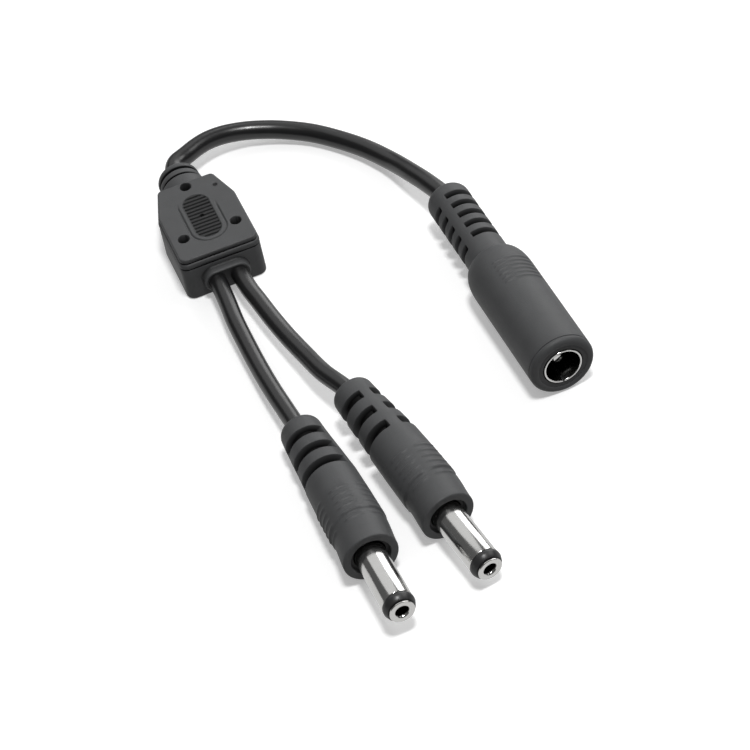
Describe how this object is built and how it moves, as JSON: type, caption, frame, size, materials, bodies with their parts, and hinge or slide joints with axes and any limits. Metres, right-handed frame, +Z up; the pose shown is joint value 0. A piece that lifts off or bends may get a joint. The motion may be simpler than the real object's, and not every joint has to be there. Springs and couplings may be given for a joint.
{
  "type": "dc power splitter cable",
  "caption": "Short low-voltage power splitter cable: a round barrel socket feeds a moulded splitter block, which feeds barrel plugs on their own cords.",
  "frame": {"origin": "centre of the splitter block's flat underside, which lies on the surface", "axes": "+Z up from the block's underside, +Y along the block towards the input cord, so the plugs lie towards -Y and the socket towards +X"},
  "size_m": [0.0584, 0.1317, 0.0122],
  "materials": {
    "grip_plastic": "satin",
    "cord_sheath": "gloss",
    "nickel": "polished",
    "black_insulator": "satin",
    "inner_moulding": "satin",
    "splice_metal": "satin",
    "core_red": "satin",
    "core_black": "satin"
  },
  "bodies": {
    "root": {"splitter_overmould": "grip_plastic", "splitter_inner_mould": "inner_moulding", "splice_positive": "splice_metal", "splice_core_input_positive": "core_red", "splice_core_output_a_positive": "core_red", "splice_core_output_b_positive": "core_red", "splice_negative": "splice_metal", "splice_core_input_negative": "core_black", "splice_core_output_a_negative": "core_black", "splice_core_output_b_negative": "core_black", "plug_a_grip": "grip_plastic", "plug_a_barrel": "nickel", "plug_a_tip_insulator": "black_insulator", "plug_a_center_contact": "nickel", "plug_a_core_positive": "core_red", "plug_a_core_negative": "core_black", "plug_b_grip": "grip_plastic", "plug_b_barrel": "nickel", "plug_b_tip_insulator": "black_insulator", "plug_b_center_contact": "nickel", "plug_b_core_positive": "core_red", "plug_b_core_negative": "core_black", "jack_grip": "grip_plastic", "jack_sleeve": "nickel", "jack_carrier": "black_insulator", "jack_pin": "nickel", "jack_core_positive": "core_red", "jack_core_negative": "core_black", "input_cord": "cord_sheath", "output_cord_a": "cord_sheath", "output_cord_b": "cord_sheath"}
  },
  "joints": []
}
